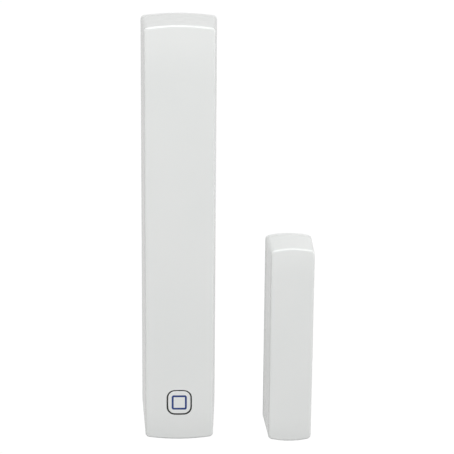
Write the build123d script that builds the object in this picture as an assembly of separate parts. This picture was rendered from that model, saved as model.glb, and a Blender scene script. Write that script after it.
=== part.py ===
from build123d import *
from math import atan2, degrees, radians, sqrt, tan
import os

# Door contact sensor: a tall radio sensor that clips to a plate on the door frame, and a short magnet
# unit on the door leaf beside it. Millimetres. The origin is the centre of the sensor's wall face,
# +Z runs up along the sensor, the fronts face -Y and the magnet stands on the +X side.
# A "depth" is a distance out from the wall, towards the front: depth d is the plane y = -d.

# ---------------------------------------------------------------- driving dimensions: sensor housing
BODY_LENGTH = 102.0  # overall, at the middle of the bowed ends
BODY_WIDTH = 18.8  # at the wall
BODY_DEPTH = 25.0  # wall to front face
END_BOW = 0.7  # how far the ends bow out over the width
CORNER_R = 1.1
SIDE_DRAFT = 2.6  # degrees, on each long side
END_DRAFT = 0.5  # degrees, on each end of both units
FRONT_EDGE_R = 0.45
TOP_ROLL = 11.0  # length over which the front curves back at the top
TOP_ROLL_DROP = 0.45
BOTTOM_ROLL = 7.0
BOTTOM_ROLL_DROP = 0.35
SIDE_WALL = 1.4
FRONT_WALL = 1.6

# ---------------------------------------------------------------- driving dimensions: magnet unit
MAGNET_LENGTH = 49.4
MAGNET_WIDTH = 11.5  # at its wall face
MAGNET_DEPTH = 15.0
MAGNET_SIDE_DRAFT = 2.0
MAGNET_STANDOFF = 10.0  # the door leaf stands this far in front of the frame
MAGNET_GAP = 12.0  # between the two units, at their wall faces
MAGNET_DROP = 0.6  # the magnet unit's lower end, below the sensor's
MAGNET_WALL = 1.2
MAGNET_FRONT_WALL = 1.4
MAGNET_ROLL = 6.0
MAGNET_ROLL_DROP = 0.3

# ---------------------------------------------------------------- driving dimensions: pieces inside
PLATE = 2.2  # sensor's wall plate
PLATE_EDGE_R = 0.25  # round its wall face
PLATE_RIB = 1.0
PLATE_RIB_LENGTH = 8.0
PLATE_RIB_PLACES = (0.16, 0.48, 0.8)  # shares of the half cell stack
PLATE_SCREW_R = 1.7
PLATE_SCREW_HEAD_R = 3.2
PLATE_SCREW_SPACING = 64.0
TAPE = 0.8
TAPE_CORNER_R = 1.0
TAPE_WIDTH = 12.0
TAPE_LENGTH = 48.0
RIM = 0.9
RIM_HEIGHT = 2.5
RIM_INSET = 15.0  # from the plate's end to the rim's end
TONGUE = 0.75
TONGUE_WIDTH = 6.0
MAGNET_TONGUE_WIDTH = 4.0
TONGUE_HEIGHT = 5.6
HOOK = 0.22
HOOK_RAMP = 1.6  # from the tongue's tip to where its hook begins
HOOK_FLAT = (0.9, 1.2)  # the hook's full height, from the tip
CELL_LENGTH = 44.5  # AAA cell, positive cap included
CELL_D = 10.5
CELL_CAP_D = 3.8
CELL_CAP = 1.0
CELL_BACK_GAP = 1.3  # from the wall plate to the cells
SPRING_LENGTH = 2.1  # pressed
SPRING_WIRE = 0.5
CONTACT = 0.4
CONTACT_SIZE = 7.4
SPRING_TURNS = 2.5
SPRING_BASE = 0.6  # coil radius as a share of the cell's
SPRING_TIP = 0.36
CELL_EDGE_R = 0.5
CARRIER_WALL = 0.9
CARRIER_WEB = 0.9
SADDLE = 1.0
SADDLE_HEIGHT = 1.8
SADDLE_PLACES = (0.15, 0.38, 0.62, 0.85)  # shares of a cell's length
CARRIER_END = 0.6
BOARD = 1.0
POST_R = 1.4
POST_INSET = 3.5  # from the cover's end to a screw post's centre
POST_SIDE = 3.45  # from the cover's side to a screw post's centre
CARRIER_SCREW_R = 0.6
CARRIER_SCREW_HEAD_R = 1.3
CARRIER_SCREW_HEAD = 0.9
CARRIER_SCREW_LENGTH = 6.0
BOARD_PIN_R = 0.6
BOARD_PIN_HEAD = 0.45  # height, and lip round the pin
STEM_R = 1.1
COLLAR_WALL = 0.8
COLLAR_HEIGHT = 2.0
SWITCH_SIZE = 4.5
SWITCH_HEIGHT = 3.8
PLUNGER_R = 1.2
PLUNGER_RISE = 0.8
BUTTON_HEIGHT = 9.9  # centre, above the sensor's lower end
GASKET_WIDTH = 6.2
GASKET_LENGTH = 6.45
GASKET_CORNER_R = 2.0
GASKET_BOW = 0.12
GASKET_LINE = 0.3
BUTTON_TRAVEL = 0.4
BUTTON_FACE = 1.2
BUTTON_FLANGE = 0.8
BUTTON_FLANGE_LIP = 0.7
SQUARE_SIZE = 3.7
SQUARE_LINE = 0.48
SQUARE_CORNER_R = 0.5
SQUARE_DEPTH = 0.8
REED_GLASS_R = 1.0
REED_GLASS_LENGTH = 12.0
REED_LEAD_R = 0.28
REED_SPAN = 17.0
ANTENNA_R = 0.4
ANTENNA_RISE = 3.0
CHIP_SIZE = 7.0
CHIP_HEIGHT = 1.0
CHIP_LEADS = 8  # on each side
PIN_MARK_R = 0.8  # ball that leaves the dimple by the first lead
PIN_MARK_DEPTH = 0.12
PIN_MARK_INSET = 1.1
SHIELD_SHEET = 0.2
SHIELD_SIZE = (9.0, 12.0, 2.0)  # x, z and height, as in the next four
CHIP_CAPACITOR = (1.6, 0.8, 0.8)
CHIP_RESISTOR = (1.6, 0.8, 0.5)
STATUS_LED = (3.2, 1.6, 1.2)
LED_SIDE = 2.6  # beside the button's axis, between the contact tabs and the reed switch
LED_ABOVE = 1.4  # above the switch
BUFFER_BASE = (5.3, 5.3, 0.6)
BUFFER_R = 2.5
BUFFER_HEIGHT = 4.8
CRYSTAL_R = 1.0
CRYSTAL_LENGTH = 6.0
BAR_MAGNET_LENGTH = 26.0
BAR_MAGNET_SIZE = 6.0
MAGNET_PLATE = 1.8
MAGNET_SCREW_R = 1.6
MAGNET_SCREW_HEAD_R = 2.9
MAGNET_SCREW_INSET = 5.2  # from the unit's end to a screw's centre
MAGNET_TAPE_WIDTH = 8.0
MAGNET_TAPE_LENGTH = 28.0
CLIP_WALL = 0.8
CLIP_FLOOR = 2.0
CLIP_GRIP = 4.5  # how far up the magnet the tray reaches
FOAM_INSET = 0.4

# ---------------------------------------------------------------- clearances
PARTING_GAP = 0.15  # housing to plate, seen as a fine line
SIDE_GAP = 0.15  # rim or tongue to the housing's inner wall
LOOSE = 0.2  # parts that drop into place
SLIDE_FIT = 0.06  # button in its gasket, plunger in its switch
KEEP_CLEAR = 0.3

SIDE_SLOPE = tan(radians(SIDE_DRAFT))
END_SLOPE = tan(radians(END_DRAFT))
MAGNET_SIDE_SLOPE = tan(radians(MAGNET_SIDE_DRAFT))
HALF_LENGTH = BODY_LENGTH / 2
CELL_R = CELL_D / 2
CELL_AXIS = PLATE + CELL_BACK_GAP + CELL_R
WEB_BACK = CELL_AXIS + CELL_R + 0.15
WEB_FRONT = WEB_BACK + CARRIER_WEB
BOARD_FRONT = WEB_FRONT + BOARD
COVER_INSIDE = BODY_DEPTH - FRONT_WALL
CHANNEL_HALF = CELL_R + LOOSE
STACK_HALF = (2 * CELL_LENGTH + 2 * SPRING_LENGTH + 3 * CONTACT) / 2
BUTTON_Z = BUTTON_HEIGHT - HALF_LENGTH
MAGNET_X = BODY_WIDTH / 2 + MAGNET_GAP + MAGNET_WIDTH / 2
MAGNET_Z = MAGNET_LENGTH / 2 - MAGNET_DROP - HALF_LENGTH
COVER_START = PLATE + PARTING_GAP
MAGNET_COVER_START = MAGNET_STANDOFF + MAGNET_PLATE + PARTING_GAP
MAGNET_FRONT = MAGNET_STANDOFF + MAGNET_DEPTH
MAGNET_SCREW_SPACING = MAGNET_LENGTH - 2 * MAGNET_SCREW_INSET

os.makedirs("parts", exist_ok=True)


def save(node, *solids):
    """Write one node. Several solids make a group."""
    shape = solids[0] if len(solids) == 1 else Compound(children=list(solids))
    shape.label = node
    export_step(shape, f"parts/{node}.step")


def block(x_span, depth_span, z_span):
    """A box between two values along each axis, with depths for y."""
    size = [max(span) - min(span) for span in (x_span, depth_span, z_span)]
    middle = Vector(sum(x_span) / 2, -sum(depth_span) / 2, sum(z_span) / 2)
    return Pos(middle) * Box(*size)


def rod(x, z, radius, depth_span):
    """A cylinder that points out from the wall."""
    length = max(depth_span) - min(depth_span)
    return Pos(x, -sum(depth_span) / 2, z) * Rot(90, 0, 0) * Cylinder(radius, length)


def upright(x, depth, radius, z_span):
    """A cylinder along Z."""
    length = max(z_span) - min(z_span)
    return Pos(x, -depth, sum(z_span) / 2) * Cylinder(radius, length)


def prism(outline, depth_span):
    """A front-view outline, drawn round (0, 0), made solid between two depths."""
    start, end = depth_span
    return extrude(Plane.XZ.offset(start) * outline, end - start)


def bowed_outline(width, length, bow, corner_r):
    """Straight sides, ends that bow out, rounded corners."""
    half_w = width / 2
    side = length / 2 - bow
    top = ThreePointArc((half_w, side), (0, length / 2), (-half_w, side))
    left = Line((-half_w, side), (-half_w, -side))
    bottom = ThreePointArc((-half_w, -side), (0, -length / 2), (half_w, -side))
    right = Line((half_w, -side), (half_w, side))
    face = make_face(top + left + bottom + right)
    return fillet(face.vertices(), corner_r)


def cushion_outline(width, length, bow, corner_r):
    """A square with all four sides a little bowed and well rounded corners."""
    half_w = width / 2 - bow
    half_l = length / 2 - bow
    top = ThreePointArc((half_w, half_l), (0, length / 2), (-half_w, half_l))
    left = ThreePointArc((-half_w, half_l), (-width / 2, 0), (-half_w, -half_l))
    bottom = ThreePointArc((-half_w, -half_l), (0, -length / 2), (half_w, -half_l))
    right = ThreePointArc((half_w, -half_l), (width / 2, 0), (half_w, half_l))
    face = make_face(top + left + bottom + right)
    return fillet(face.vertices(), corner_r)


def side_profile(front, length, top, top_drop, bottom, bottom_drop):
    """Side view of a front face that is flat in the middle and curves back near its ends."""
    past_end = 2.0
    half = length / 2

    def drop_at(roll, drop):
        radius = (roll**2 + drop**2) / (2 * drop)
        return radius - sqrt(radius**2 - (roll + past_end) ** 2)

    top_point = (-front + drop_at(top, top_drop), half + past_end)
    bottom_point = (-front + drop_at(bottom, bottom_drop), -half - past_end)
    top_arc = TangentArc((-front, half - top), top_point, tangent=(0, 1))
    bottom_arc = TangentArc((-front, bottom - half), bottom_point, tangent=(0, -1))
    middle = Line((-front, bottom - half), (-front, half - top))
    back = Polyline(top_point, (1, half + past_end), (1, -half - past_end), bottom_point)
    return make_face(top_arc + bottom_arc + middle + back)


def drafted_prism(width, length, depth_span, side_slope, base):
    """A bowed outline that narrows towards the front. width and length are those at depth base."""
    sections = []
    for depth in depth_span:
        run = 2 * (depth - base)
        section = bowed_outline(
            width - run * side_slope, length - run * END_SLOPE, END_BOW, CORNER_R
        )
        sections.append(Plane.XZ.offset(depth) * section)
    return loft(sections, ruled=True)


def shell(width, length, depths, wall, front_wall, rolls, side_slope, base):
    """A moulded cover, open at the back, drawn round (0, 0): drafted walls and a rolled front."""
    start, front = depths
    outside = drafted_prism(width, length, (start, front), side_slope, base)
    profile = side_profile(front, length, *rolls)
    outside &= extrude(Plane.YZ * profile, width, both=True)
    lowest_front = front - max(rolls[1], rolls[3]) - 0.1
    rim_edges = [
        edge
        for edge in outside.edges()
        if edge.center().Y < -lowest_front
        and not (abs(edge.center().X) < 0.01 and abs(edge.center().Z) < length / 2 - 2)
    ]
    outside = fillet(rim_edges, FRONT_EDGE_R)
    inside = (start, front - front_wall)
    return outside - drafted_prism(
        width - 2 * wall, length - 2 * wall, inside, side_slope, base
    )


def inner_half(half, wall, depth, slope, base=0.0):
    """Half the inner width or length of a drafted cover at a depth."""
    return half - wall - (depth - base) * slope


def sensor_half_width(depth):
    return inner_half(BODY_WIDTH / 2, SIDE_WALL, depth, SIDE_SLOPE)


def sensor_half_length(depth):
    return inner_half(HALF_LENGTH, SIDE_WALL, depth, END_SLOPE)


# ================================================================ sensor: wall plate and tape
def screw_hole(x, z, radius, head_r, depth_span):
    """A round hole with a 45 degree countersink at its front."""
    start, end = depth_span
    sink = head_r - radius
    cone = Pos(x, -(end - sink / 2), z) * Rot(90, 0, 0) * Cone(radius, head_r, sink)
    return rod(x, z, radius, (start - 1, end + 1)) + cone


def tongue(end_z, seat, width, start):
    """A springy end tongue. end_z is +1 or -1. Its hook is drawn in its released place.

    The seat is half the cover's inner length and half its inner width at the tongue's tip.
    """
    inner_end, inner_side = seat
    corner_end = inner_end - END_BOW * (width / 2 / inner_side) ** 2
    outer = corner_end - SIDE_GAP - HOOK
    tip = start + TONGUE_HEIGHT
    strip = block(
        (-width / 2, width / 2), (start, tip), (end_z * (outer - TONGUE), end_z * outer)
    )
    hook_points = [(-tip, 0), (-tip + HOOK_RAMP, 0)]
    hook_points += [(-tip + flat, HOOK) for flat in reversed(HOOK_FLAT)]
    hook = extrude(Plane.YZ * Polygon(*hook_points, align=None), width / 2, both=True)
    hook = hook if end_z > 0 else mirror(hook, Plane.XY)
    return strip + Pos(0, 0, end_z * outer) * hook


def hook_groove(end_z, seat, width, start):
    """The pocket in a cover's inner end that a tongue's hook springs into."""
    tip = start + TONGUE_HEIGHT
    return block(
        (-width / 2 - LOOSE, width / 2 + LOOSE),
        (tip - HOOK_RAMP - LOOSE, tip - HOOK_FLAT[0] + 2 * LOOSE),
        (end_z * (seat[0] - 1), end_z * (seat[0] + HOOK + LOOSE / 2)),
    )


TONGUE_TIP = PLATE + TONGUE_HEIGHT
SENSOR_SEAT = (sensor_half_length(TONGUE_TIP), sensor_half_width(TONGUE_TIP))
TAPE_OUTLINE = RectangleRounded(TAPE_WIDTH, TAPE_LENGTH, TAPE_CORNER_R)


def wall_plate():
    plate = drafted_prism(BODY_WIDTH, BODY_LENGTH, (0, PLATE), SIDE_SLOPE, 0.0)
    plate = fillet(plate.faces().sort_by(Axis.Y)[-1].edges(), PLATE_EDGE_R)
    rim_out = sensor_half_width(PLATE + RIM_HEIGHT) - SIDE_GAP
    rim_half = HALF_LENGTH - RIM_INSET
    for sign in (-1, 1):
        plate += block(
            (sign * rim_out, sign * (rim_out - RIM)),
            (PLATE, PLATE + RIM_HEIGHT),
            (-rim_half, rim_half),
        )
        plate += tongue(sign, SENSOR_SEAT, TONGUE_WIDTH, PLATE)
        for place in PLATE_RIB_PLACES:
            rib = sign * place * STACK_HALF
            plate += block(
                (-PLATE_RIB_LENGTH / 2, PLATE_RIB_LENGTH / 2),
                (PLATE, PLATE + PLATE_RIB),
                (rib - PLATE_RIB / 2, rib + PLATE_RIB / 2),
            )
        plate -= screw_hole(
            0, sign * PLATE_SCREW_SPACING / 2, PLATE_SCREW_R, PLATE_SCREW_HEAD_R, (0, PLATE)
        )
    return plate - prism(TAPE_OUTLINE, (0, TAPE))


save("sensor_wall_plate", wall_plate())
save("sensor_wall_tape", prism(TAPE_OUTLINE, (0, TAPE)))

# ================================================================ sensor: front cover and button
POST_X = sensor_half_width(WEB_FRONT) - POST_SIDE + POST_R
POST_Z = sensor_half_length(WEB_FRONT) - END_BOW - POST_INSET + POST_R
POSTS = [(x * POST_X, z * POST_Z) for x in (-1, 1) for z in (-1, 1)]
POST_BORE = CARRIER_SCREW_LENGTH - CARRIER_WEB
FLANGE_WIDTH = GASKET_WIDTH + 2 * BUTTON_FLANGE_LIP
FLANGE_LENGTH = GASKET_LENGTH + 2 * BUTTON_FLANGE_LIP
FLANGE_FRONT = COVER_INSIDE - 0.05
FLANGE_BACK = FLANGE_FRONT - BUTTON_FLANGE
PLUNGER_TIP = BOARD_FRONT + SWITCH_HEIGHT + PLUNGER_RISE
STEM_BACK = PLUNGER_TIP + 0.05


def at_button(outline):
    return Pos(0, BUTTON_Z) * outline


def gasket_outline(inset=0.0):
    return at_button(
        cushion_outline(
            GASKET_WIDTH - 2 * inset,
            GASKET_LENGTH - 2 * inset,
            GASKET_BOW,
            GASKET_CORNER_R - inset,
        )
    )


def front_cover():
    rolls = (TOP_ROLL, TOP_ROLL_DROP, BOTTOM_ROLL, BOTTOM_ROLL_DROP)
    cover = shell(
        BODY_WIDTH,
        BODY_LENGTH,
        (COVER_START, BODY_DEPTH),
        SIDE_WALL,
        FRONT_WALL,
        rolls,
        SIDE_SLOPE,
        0.0,
    )
    collar = (COVER_INSIDE - COLLAR_HEIGHT, COVER_INSIDE)
    collar_width = FLANGE_WIDTH + 3 * LOOSE
    collar_length = FLANGE_LENGTH + 3 * LOOSE
    collar_in = at_button(Rectangle(collar_width, collar_length))
    collar_out = at_button(
        Rectangle(collar_width + 2 * COLLAR_WALL, collar_length + 2 * COLLAR_WALL)
    )
    cover += prism(collar_out, collar) - prism(collar_in, collar)
    for x, z in POSTS:
        cover += rod(x, z, POST_R, (WEB_FRONT, COVER_INSIDE + 0.2))
        cover -= rod(x, z, CARRIER_SCREW_R, (WEB_FRONT, WEB_FRONT + POST_BORE))
    for sign in (-1, 1):
        cover -= hook_groove(sign, SENSOR_SEAT, TONGUE_WIDTH, PLATE)
    return cover - prism(gasket_outline(), (COVER_INSIDE - 1, BODY_DEPTH + 1))


def square_outline(inset=0.0):
    size = SQUARE_SIZE - 2 * inset
    return at_button(RectangleRounded(size, size, max(SQUARE_CORNER_R - inset, 0.1)))


SQUARE_RING = (BODY_DEPTH - SQUARE_DEPTH, BODY_DEPTH)


def button_square():
    return prism(square_outline(), SQUARE_RING) - prism(square_outline(SQUARE_LINE), SQUARE_RING)


def button_cap():
    inset = GASKET_LINE + SLIDE_FIT
    cap = prism(gasket_outline(inset), (FLANGE_FRONT, BODY_DEPTH))
    cap = fillet(cap.faces().sort_by(Axis.Y)[0].edges(), 0.15)
    flange = at_button(RectangleRounded(FLANGE_WIDTH, FLANGE_LENGTH, 1.5))
    cap += prism(flange, (FLANGE_BACK, FLANGE_FRONT))
    cap += rod(0, BUTTON_Z, STEM_R, (STEM_BACK, FLANGE_BACK))
    return cap - button_square()


def gasket():
    span = (COVER_INSIDE, BODY_DEPTH - 0.12)
    return prism(gasket_outline(), span) - prism(gasket_outline(GASKET_LINE), span)


save("sensor_front_cover", front_cover())
save("button_gasket", gasket())
save("button_cap", button_cap())
save("button_square_inlay", button_square())

# ================================================================ sensor: battery carrier and cells
BOTTOM_PLATE_Z = -STACK_HALF
MIDDLE_PLATE_Z = BOTTOM_PLATE_Z + CONTACT + SPRING_LENGTH + CELL_LENGTH
TOP_PLATE_Z = STACK_HALF - CONTACT
CONTACTS = (BOTTOM_PLATE_Z, MIDDLE_PLATE_Z, TOP_PLATE_Z)
LOWER_CELL_Z = BOTTOM_PLATE_Z + CONTACT + SPRING_LENGTH
UPPER_CELL_Z = MIDDLE_PLATE_Z + CONTACT + SPRING_LENGTH
TAB = 1.2
TAB_SLOT = 0.15
BOARD_HALF_W = sensor_half_width(BOARD_FRONT) - KEEP_CLEAR
BOARD_HALF_L = sensor_half_length(BOARD_FRONT) - END_BOW - KEEP_CLEAR
PIN_X = BOARD_HALF_W - 1.2
PIN_PLACES = [(-PIN_X, -31.0), (PIN_X, -11.0), (-PIN_X, 37.0), (PIN_X, 37.0)]


def tab_slots(depth_span):
    """Slots that the contact tabs pass through."""
    return [
        block(
            (-TAB / 2 - TAB_SLOT, TAB / 2 + TAB_SLOT),
            depth_span,
            (z - TAB_SLOT, z + CONTACT + TAB_SLOT),
        )
        for z in CONTACTS
    ]


def battery_carrier():
    half_w = sensor_half_width(WEB_FRONT) - SIDE_GAP
    half_l = sensor_half_length(WEB_FRONT) - SIDE_GAP
    web = bowed_outline(2 * half_w, 2 * half_l, END_BOW, CORNER_R)
    carrier = prism(web, (WEB_BACK, WEB_FRONT))
    wall_back = PLATE + RIM_HEIGHT + 0.8
    wall_z = POST_Z - CARRIER_SCREW_HEAD_R - 0.5
    notch = CELL_LENGTH / 4
    for sign in (-1, 1):
        sides = (sign * CHANNEL_HALF, sign * (CHANNEL_HALF + CARRIER_WALL))
        carrier += block(sides, (wall_back, WEB_BACK), (-wall_z, wall_z))
        for cell_z in (LOWER_CELL_Z, UPPER_CELL_Z):
            middle = cell_z + CELL_LENGTH / 2
            carrier -= block(sides, (wall_back, CELL_AXIS), (middle - notch, middle + notch))
            for place in SADDLE_PLACES:
                z = cell_z + place * CELL_LENGTH
                carrier += block(
                    (-CHANNEL_HALF, CHANNEL_HALF),
                    (WEB_BACK - SADDLE_HEIGHT, WEB_BACK),
                    (z - SADDLE / 2, z + SADDLE / 2),
                )
        end = sign * (STACK_HALF + 0.05)
        carrier += block(
            (-CONTACT_SIZE / 2, CONTACT_SIZE / 2),
            (wall_back, WEB_BACK),
            (end, end + sign * CARRIER_END),
        )
        shoulder = (sign * (CONTACT_SIZE / 2 + 0.1), sign * CHANNEL_HALF)
        carrier += block(
            shoulder,
            (CELL_AXIS - 2, WEB_BACK),
            (MIDDLE_PLATE_Z - 0.3, MIDDLE_PLATE_Z + CONTACT + 0.3),
        )
    bed = upright(0, CELL_AXIS, CELL_R + 0.12, (LOWER_CELL_Z, UPPER_CELL_Z + CELL_LENGTH))
    carrier -= bed
    for slot in tab_slots((WEB_BACK - 0.5, WEB_FRONT + 0.5)):
        carrier -= slot
    for x, z in POSTS:
        carrier -= rod(x, z, CARRIER_SCREW_R + LOOSE, (WEB_BACK - 3, WEB_FRONT + 1))
    for x, z in PIN_PLACES:
        carrier += rod(x, z, BOARD_PIN_R, (WEB_FRONT, BOARD_FRONT + 0.05))
        head = (BOARD_FRONT + 0.05, BOARD_FRONT + 0.05 + BOARD_PIN_HEAD)
        carrier += rod(x, z, BOARD_PIN_R + BOARD_PIN_HEAD, head)
    return carrier


def contact_plate(z, back):
    """A pressed plate with a tab through the web and the board."""
    plate = block(
        (-CONTACT_SIZE / 2, CONTACT_SIZE / 2), (back, WEB_BACK - 0.1), (z, z + CONTACT)
    )
    plate += block((-TAB / 2, TAB / 2), (WEB_BACK - 0.1, BOARD_FRONT + 0.7), (z, z + CONTACT))
    return plate


def cell(z):
    """A plain steel can with its positive cap up, drawn from its flat end at z."""
    can_top = z + CELL_LENGTH - CELL_CAP
    can = upright(0, CELL_AXIS, CELL_R, (z, can_top))
    can = fillet(can.edges().filter_by(GeomType.CIRCLE), CELL_EDGE_R)
    cap = upright(0, CELL_AXIS, CELL_CAP_D / 2, (can_top - 0.4, can_top + CELL_CAP))
    cap = fillet(cap.edges().sort_by(Axis.Z)[-1], 0.3)
    ring = seal_ring(can_top)
    return can - ring + cap - ring


def seal_ring(can_top):
    outer = upright(0, CELL_AXIS, CELL_R - 1.0, (can_top - 0.4, can_top))
    return outer - upright(0, CELL_AXIS, CELL_CAP_D / 2, (can_top - 0.5, can_top + 0.1))


def spring(z):
    """A tapering coil that presses on a cell's flat end."""
    wire = SPRING_WIRE / 2
    height = SPRING_LENGTH - 2 * wire - 0.04
    base_r = CELL_R * SPRING_BASE
    tip_r = CELL_R * SPRING_TIP
    cone_angle = -degrees(atan2(base_r - tip_r, height))
    path = Helix(height / SPRING_TURNS, height, base_r, cone_angle=cone_angle)
    section = Plane(path @ 0, z_dir=path % 0) * Circle(wire)
    return Pos(0, -CELL_AXIS, z + wire + 0.02) * sweep(section, path, is_frenet=True)


def carrier_screws():
    screws = []
    for x, z in POSTS:
        head = (WEB_BACK - CARRIER_SCREW_HEAD, WEB_BACK)
        screw = rod(x, z, CARRIER_SCREW_HEAD_R, head)
        screw = fillet(screw.edges().sort_by(Axis.Y)[-1], 0.3)
        slot = (head[0], head[0] + 0.45)
        screw -= block((x - 0.8, x + 0.8), slot, (z - 0.15, z + 0.15))
        screw -= block((x - 0.15, x + 0.15), slot, (z - 0.8, z + 0.8))
        shank = (WEB_BACK, WEB_BACK + CARRIER_SCREW_LENGTH - 0.3)
        screws.append(screw + rod(x, z, CARRIER_SCREW_R, shank))
    return screws


PLATE_BACK = CELL_AXIS - CELL_R + 1.2
save("battery_carrier", battery_carrier())
save("contact_plates", *[contact_plate(z, PLATE_BACK) for z in CONTACTS])
save("cell_lower", cell(LOWER_CELL_Z))
save("cell_upper", cell(UPPER_CELL_Z))
CELL_SEALS = [seal_ring(z + CELL_LENGTH - CELL_CAP) for z in (LOWER_CELL_Z, UPPER_CELL_Z)]
save("cell_seals", *CELL_SEALS)
save("battery_springs", *[spring(z + CONTACT) for z in CONTACTS[:2]])
save("carrier_screws", *carrier_screws())

# ================================================================ sensor: circuit board and its parts
REED_X = BOARD_HALF_W - REED_GLASS_R - 0.5
REED_DEPTH = BOARD_FRONT + REED_GLASS_R + 0.4
REED_Z = MAGNET_Z
REED_BEND = 1.0
ANTENNA_X = -(BOARD_HALF_W - 1.2)
ANTENNA_SPAN = (-20.0, 32.0)


def circuit_board():
    board = prism(Rectangle(2 * BOARD_HALF_W, 2 * BOARD_HALF_L), (WEB_FRONT, BOARD_FRONT))
    through = (WEB_FRONT - 1, BOARD_FRONT + 1)
    notch_x = POST_X - POST_R - KEEP_CLEAR
    notch_z = POST_Z - POST_R - KEEP_CLEAR
    for x in (-1, 1):
        for z in (-1, 1):
            board -= block(
                (x * notch_x, x * (BOARD_HALF_W + 1)), through, (z * notch_z, z * HALF_LENGTH)
            )
    for slot in tab_slots(through):
        board -= slot
    for x, z in PIN_PLACES:
        board -= rod(x, z, BOARD_PIN_R + 0.1, through)
    for sign in (-1, 1):
        board -= rod(REED_X, REED_Z + sign * REED_SPAN / 2, REED_LEAD_R + 0.1, through)
    for z in ANTENNA_SPAN:
        board -= rod(ANTENNA_X, z, ANTENNA_R + 0.1, through)
    return board


def bent_wire(x, depth, z_span, radius, bend, tail):
    """A round wire along Z whose ends turn back towards the wall."""
    low, high = z_span
    points = [(x, -tail, low), (x, -depth, low), (x, -depth, high), (x, -tail, high)]
    path = FilletPolyline(*points, radius=bend)
    return sweep(Plane(path @ 0, z_dir=path % 0) * Circle(radius), path)


def reed_blade(sign):
    """One lead, flattened to a blade inside the glass. The two blades overlap at the middle."""
    glass_end = REED_GLASS_LENGTH / 2
    tip = -sign * 0.9
    low, high = sorted((tip, sign * (glass_end - 1.2)))
    blade_y = REED_DEPTH + sign * 0.14
    blade = block(
        (REED_X - 0.6, REED_X + 0.6), (blade_y - 0.1, blade_y + 0.1), (REED_Z + low, REED_Z + high)
    )
    start = REED_Z + sign * (glass_end - 1.4)
    end = REED_Z + sign * REED_SPAN / 2
    points = [
        (REED_X, -REED_DEPTH, start),
        (REED_X, -REED_DEPTH, end),
        (REED_X, -WEB_FRONT - 0.1, end),
    ]
    path = FilletPolyline(*points, radius=REED_BEND)
    lead = sweep(Plane(path @ 0, z_dir=path % 0) * Circle(REED_LEAD_R), path)
    return blade + lead


def reed_glass():
    half = REED_GLASS_LENGTH / 2
    tube = upright(REED_X, REED_DEPTH, REED_GLASS_R, (REED_Z - half, REED_Z + half))
    tube = fillet(tube.edges().filter_by(GeomType.CIRCLE), 0.5)
    bore = upright(
        REED_X, REED_DEPTH, REED_GLASS_R - 0.25, (REED_Z - half + 1.2, REED_Z + half - 1.2)
    )
    lead = upright(REED_X, REED_DEPTH, REED_LEAD_R, (REED_Z - half, REED_Z + half))
    return tube - bore - lead


def gull_lead():
    """A formed strip in side view: foot outward on the board, shoulder at the chip."""
    strip = 0.15
    outer = [(0, 0.5), (0.35, 0.5), (0.55, 0), (1.0, 0)]
    inner = [(1.0, strip), (0.55 + strip, strip), (0.35 + strip, 0.5 + strip), (0, 0.5 + strip)]
    return extrude(Polygon(*outer, *inner, align=None), 0.15, both=True)


def microcontroller_leads(x, z):
    """Rows of leads round a square chip at (x, z) on the board."""
    leads = []
    pitch = CHIP_SIZE / (CHIP_LEADS + 1)
    for quarter in range(4):
        for index in range(CHIP_LEADS):
            along = (index - (CHIP_LEADS - 1) / 2) * pitch
            leads.append(
                Pos(x, -BOARD_FRONT - 0.02, z)
                * Rot(90, 0, 0)
                * Rot(0, 0, 90 * quarter)
                * Pos(CHIP_SIZE / 2, along, 0)
                * Rot(90, 0, 0)
                * gull_lead()
            )
    return leads


def chip_part(x, z, size_x, size_z, height):
    return block(
        (x - size_x / 2, x + size_x / 2),
        (BOARD_FRONT, BOARD_FRONT + height),
        (z - size_z / 2, z + size_z / 2),
    )


def microcontroller(x, z):
    body = block(
        (x - CHIP_SIZE / 2, x + CHIP_SIZE / 2),
        (BOARD_FRONT + 0.15, BOARD_FRONT + 0.15 + CHIP_HEIGHT),
        (z - CHIP_SIZE / 2, z + CHIP_SIZE / 2),
    )
    body = chamfer(body.edges().filter_by(Axis.Y), 0.3)
    corner = CHIP_SIZE / 2 - PIN_MARK_INSET
    mark_depth = BOARD_FRONT + 0.15 + CHIP_HEIGHT + PIN_MARK_R - PIN_MARK_DEPTH
    return body - Pos(x - corner, -mark_depth, z + corner) * Sphere(PIN_MARK_R)


def radio_shield(x, z):
    """A pressed tin can over the radio, open towards the board."""
    size_x, size_z, height = SHIELD_SIZE
    can = chip_part(x, z, size_x, size_z, height)
    can = fillet(can.edges().filter_by(Axis.Y), 0.5)
    can = fillet(can.faces().sort_by(Axis.Y)[0].edges(), 0.3)
    inner_x = size_x - 2 * SHIELD_SHEET
    inner_z = size_z - 2 * SHIELD_SHEET
    return can - chip_part(x, z, inner_x, inner_z, height - SHIELD_SHEET)


def switch_body():
    body = chip_part(0, BUTTON_Z, SWITCH_SIZE, SWITCH_SIZE, SWITCH_HEIGHT)
    body = chamfer(body.edges().filter_by(Axis.Y), 0.4)
    bore_back = BOARD_FRONT + SWITCH_HEIGHT - 1.7
    return body - rod(0, BUTTON_Z, PLUNGER_R + SLIDE_FIT, (bore_back, BOARD_FRONT + 10))


def switch_plunger():
    back = BOARD_FRONT + SWITCH_HEIGHT - 1.7 + BUTTON_TRAVEL + 0.1
    plunger = rod(0, BUTTON_Z, PLUNGER_R, (back, PLUNGER_TIP))
    return fillet(plunger.edges().sort_by(Axis.Y)[0], 0.2)


def crystal(x, z):
    half = CRYSTAL_LENGTH / 2
    can = upright(x, BOARD_FRONT + CRYSTAL_R + 0.1, CRYSTAL_R, (z - half, z + half))
    return fillet(can.edges().sort_by(Axis.Z)[-1], 0.3)


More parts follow.
